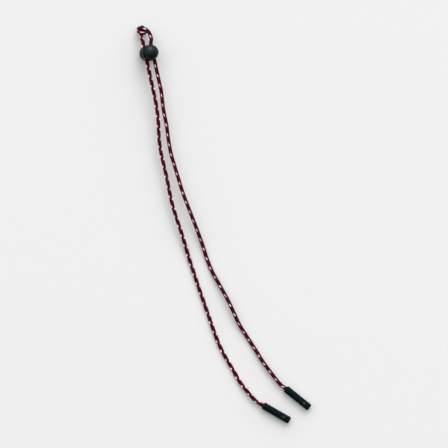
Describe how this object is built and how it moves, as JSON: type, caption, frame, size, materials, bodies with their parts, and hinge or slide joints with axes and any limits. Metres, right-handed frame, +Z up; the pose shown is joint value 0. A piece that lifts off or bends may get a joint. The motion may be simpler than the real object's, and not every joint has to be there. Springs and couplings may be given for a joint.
{
  "type": "eyeglass retainer strap",
  "caption": "Adjustable eyewear retainer: braided cords knotted behind a twin-hole ball lock, each ending in a soft sleeve that grips a temple arm.",
  "frame": {"origin": "on the surface that the strap lies on, below the middle of the box round the lock and the two sleeves", "axes": "+Z up, +Y towards the knot behind the lock, +X towards the side where the sleeves lie"},
  "size_m": [0.1481, 0.3378, 0.0191],
  "materials": {
    "lock_shell": "fine satin moulded plastic, blue-black",
    "lock_button": "fine satin moulded plastic, blue-black",
    "spring_wire": "drawn spring wire",
    "braid": "maroon braided polyester with white tracer yarns",
    "ferrule_brass": "plain crimped brass tube",
    "sleeve_silicone": "matte silicone rubber, blue-black"
  },
  "bodies": {
    "cords": {"left_cord": "braid", "right_cord": "braid"},
    "lock": {"lock_body": "lock_shell", "lock_spring": "spring_wire"},
    "plunger": {"lock_plunger": "lock_button"},
    "left_end": {"left_sleeve": "sleeve_silicone", "left_ferrule": "ferrule_brass", "left_cord_end": "braid"},
    "right_end": {"right_sleeve": "sleeve_silicone", "right_ferrule": "ferrule_brass", "right_cord_end": "braid"}
  },
  "joints": [
    {"name": "lock_slide", "type": "slide", "parent": "cords", "child": "lock", "axis": [0.213, -0.977, 0], "range_m": [0, 0.025]},
    {"name": "plunger_press", "type": "slide", "parent": "lock", "child": "plunger", "axis": [-0.3974, -0.0866, -0.9135], "range_m": [0, 0.0025], "stiffness_N_per_m": 600, "springref_m": -0.002, "deforming": ["lock_spring"]},
    {"name": "left_sleeve_swing", "type": "hinge", "parent": "cords", "child": "left_end", "pos_m": [0.0268, -0.1425, 0.003], "axis": [0, 0, 1], "range_deg": [-35, 10]},
    {"name": "right_sleeve_swing", "type": "hinge", "parent": "cords", "child": "right_end", "pos_m": [0.04654, -0.12742, 0.003], "axis": [0, 0, 1], "range_deg": [-10, 35]}
  ]
}
